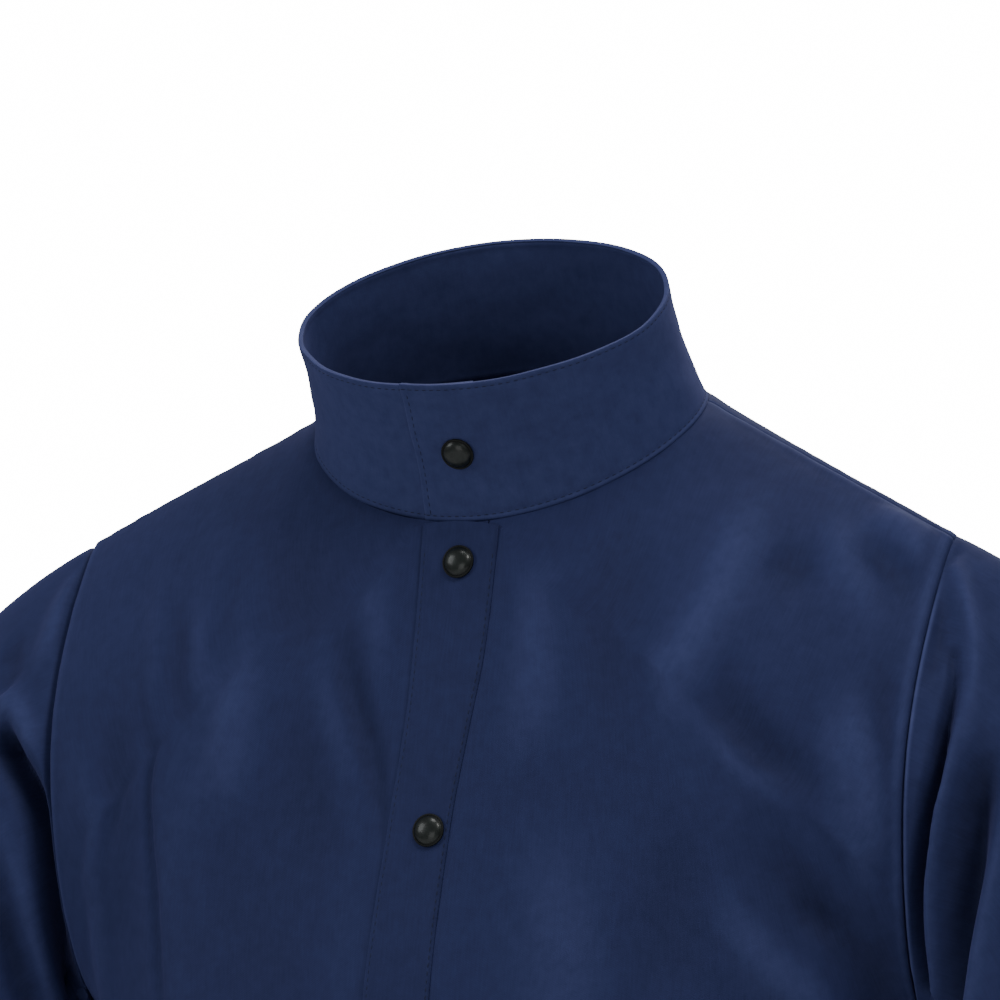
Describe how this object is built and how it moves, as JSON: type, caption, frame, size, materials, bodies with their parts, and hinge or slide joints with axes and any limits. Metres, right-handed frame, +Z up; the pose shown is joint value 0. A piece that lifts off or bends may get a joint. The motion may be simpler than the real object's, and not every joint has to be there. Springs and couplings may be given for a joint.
{
  "type": "welding jacket",
  "caption": "Welder's jacket in plain navy cotton with a stand-up collar, set-in sleeves and a snap-closed front placket, in its worn form.",
  "frame": {"origin": "the nape: the middle of the back of the neck seam, where the collar meets the back panel", "axes": "+Z up, -Y the way that the jacket faces, +X the wearer's left"},
  "size_m": [0.7316, 0.2566, 0.8239],
  "materials": {
    "cloth": "matt navy cotton with a faint fine weave",
    "snap": "black domed snaps, half gloss"
  },
  "bodies": {
    "root": {"front_left": "cloth", "front_right": "cloth", "placket": "cloth", "back": "cloth", "collar": "cloth", "sleeve_left": "cloth", "sleeve_right": "cloth", "snap_cap_1": "snap", "snap_stud_1": "snap", "snap_cap_2": "snap", "snap_stud_2": "snap", "snap_cap_3": "snap", "snap_stud_3": "snap", "snap_cap_4": "snap", "snap_stud_4": "snap", "snap_cap_5": "snap", "snap_stud_5": "snap", "snap_cap_6": "snap", "snap_stud_6": "snap", "snap_cap_7": "snap", "snap_stud_7": "snap"}
  },
  "joints": []
}
